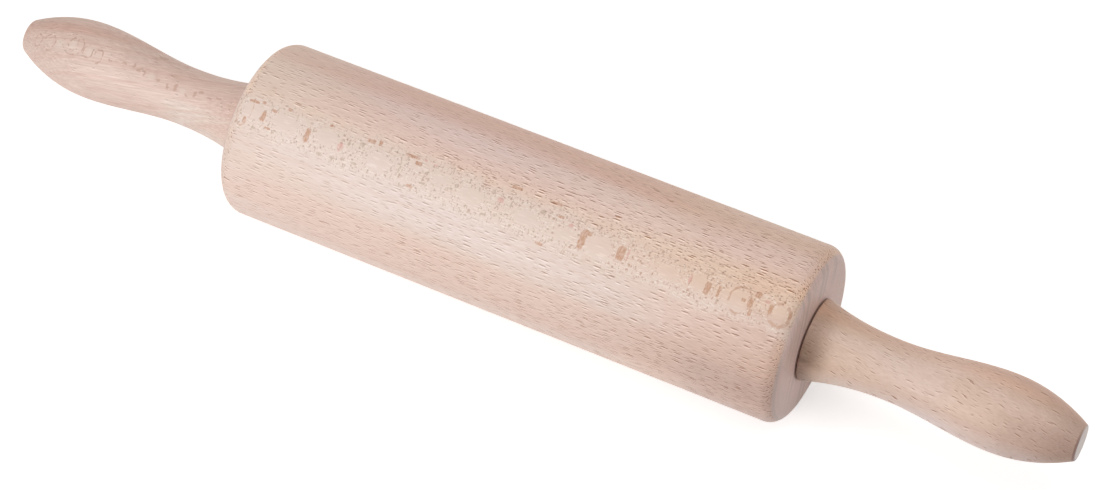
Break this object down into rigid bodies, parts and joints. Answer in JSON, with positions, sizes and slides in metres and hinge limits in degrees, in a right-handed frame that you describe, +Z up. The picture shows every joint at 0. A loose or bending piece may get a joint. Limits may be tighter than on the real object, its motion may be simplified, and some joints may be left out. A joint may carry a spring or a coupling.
{
  "type": "rolling pin",
  "caption": "Wooden rolling pin: a thick round roller with softly rounded ends turns on ball bearings round a steel axle, between two waisted turned handles.",
  "frame": {"origin": "on the worktop, under the middle of the roller", "axes": "+X along the axle to the right handle, +Y away from the viewer across the roller, +Z up from the worktop"},
  "size_m": [0.4482, 0.07, 0.0699],
  "materials": {
    "roller_wood": "raw beech, sanded, matte",
    "handle_wood": "raw beech, turned and sanded, matte",
    "axle_steel": "drawn bar, dull",
    "bearing_steel": "ground and polished",
    "cage_nylon": "moulded, natural",
    "fastener_zinc": "zinc plated",
    "insert_brass": "turned"
  },
  "bodies": {
    "spindle": {"axle_rod": "axle_steel", "right_handle": "handle_wood", "left_handle": "handle_wood", "right_handle_insert": "insert_brass", "left_handle_insert": "insert_brass", "right_lock_nut": "fastener_zinc", "left_lock_nut": "fastener_zinc", "right_washer": "fastener_zinc", "left_washer": "fastener_zinc", "right_inner_race": "bearing_steel", "left_inner_race": "bearing_steel"},
    "roller": {"roller": "roller_wood", "right_outer_race": "bearing_steel", "left_outer_race": "bearing_steel", "right_inner_shield": "bearing_steel", "left_inner_shield": "bearing_steel", "right_outer_shield": "bearing_steel", "left_outer_shield": "bearing_steel"},
    "right_ball_train": {"right_ball_cage": "cage_nylon", "right_ball_1": "bearing_steel", "right_ball_2": "bearing_steel", "right_ball_3": "bearing_steel", "right_ball_4": "bearing_steel", "right_ball_5": "bearing_steel", "right_ball_6": "bearing_steel", "right_ball_7": "bearing_steel"},
    "left_ball_train": {"left_ball_cage": "cage_nylon", "left_ball_1": "bearing_steel", "left_ball_2": "bearing_steel", "left_ball_3": "bearing_steel", "left_ball_4": "bearing_steel", "left_ball_5": "bearing_steel", "left_ball_6": "bearing_steel", "left_ball_7": "bearing_steel"}
  },
  "joints": [
    {"name": "roller_spin", "type": "hinge", "parent": "spindle", "child": "roller", "pos_m": [0, 0, 0.03496], "axis": [1, 0, 0], "continuous": true},
    {"name": "right_ball_spin", "type": "hinge", "parent": "spindle", "child": "right_ball_train", "pos_m": [0.11405, 0, 0.03496], "axis": [1, 0, 0], "continuous": true},
    {"name": "left_ball_spin", "type": "hinge", "parent": "spindle", "child": "left_ball_train", "pos_m": [-0.11405, 0, 0.03496], "axis": [1, 0, 0], "continuous": true}
  ],
  "couplings": [
    {"joint": "right_ball_spin", "follows": "roller_spin", "ratio": 0.63059},
    {"joint": "left_ball_spin", "follows": "roller_spin", "ratio": 0.63059}
  ]
}
